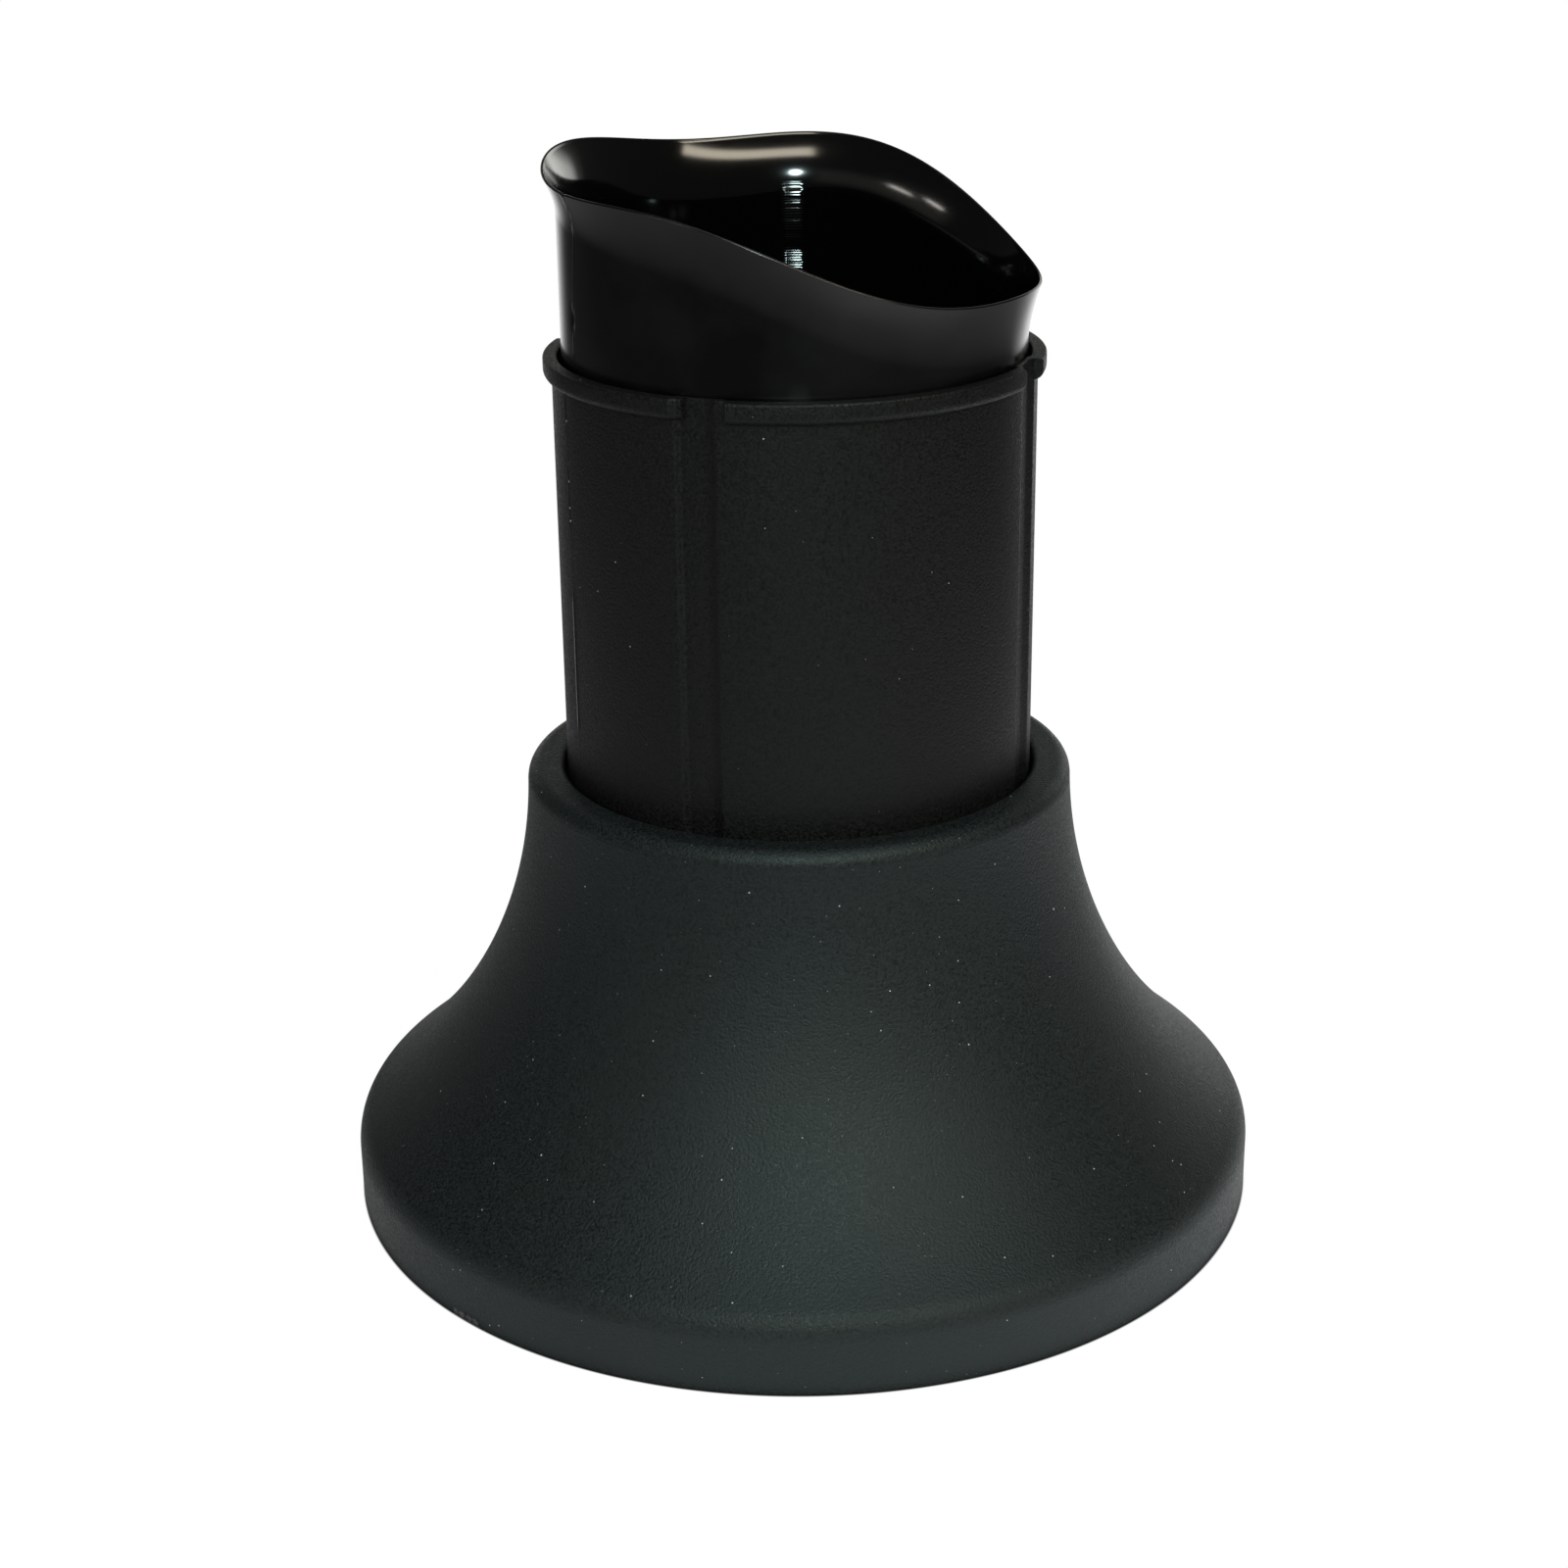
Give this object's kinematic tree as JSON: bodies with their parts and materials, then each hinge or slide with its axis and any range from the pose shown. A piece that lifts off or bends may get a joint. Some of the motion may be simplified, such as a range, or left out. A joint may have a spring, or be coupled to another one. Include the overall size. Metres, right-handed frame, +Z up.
{
  "type": "telescoping column cover",
  "caption": "Telescoping cover for a height-adjustable column: a flared bell base, a collared middle tube and a top tube with a wavy flared lip, open right through.",
  "frame": {"origin": "centre of the bell's foot, on the surface that it stands on", "axes": "+Z up along the common axis of the tubes; -Y towards the front; the top tube's lip is low towards +X and high towards -X"},
  "size_m": [0.12, 0.12, 0.1357],
  "materials": {
    "matte_shell": "fine matte moulded texture, charcoal black",
    "gloss_shell": "smooth glossy moulded black",
    "ring_plastic": "smooth dark grey, low sheen"
  },
  "bodies": {
    "base": {"bell": "matte_shell"},
    "middle_guide": {"middle_stop_ring": "ring_plastic"},
    "middle": {"middle_tube": "matte_shell"},
    "top_guide": {"top_stop_ring": "ring_plastic"},
    "top": {"top_tube": "gloss_shell"}
  },
  "joints": [
    {"name": "middle_slide", "type": "slide", "parent": "base", "child": "middle_guide", "axis": [0, 0, 1], "range_m": [0, 0.0365]},
    {"name": "middle_swivel", "type": "hinge", "parent": "middle_guide", "child": "middle", "pos_m": [0, 0, 0.004], "axis": [0, 0, 1], "continuous": true},
    {"name": "top_slide", "type": "slide", "parent": "middle", "child": "top_guide", "axis": [0, 0, 1], "range_m": [0, 0.0886]},
    {"name": "top_swivel", "type": "hinge", "parent": "top_guide", "child": "top", "pos_m": [0, 0, 0.0155], "axis": [0, 0, 1], "continuous": true}
  ]
}
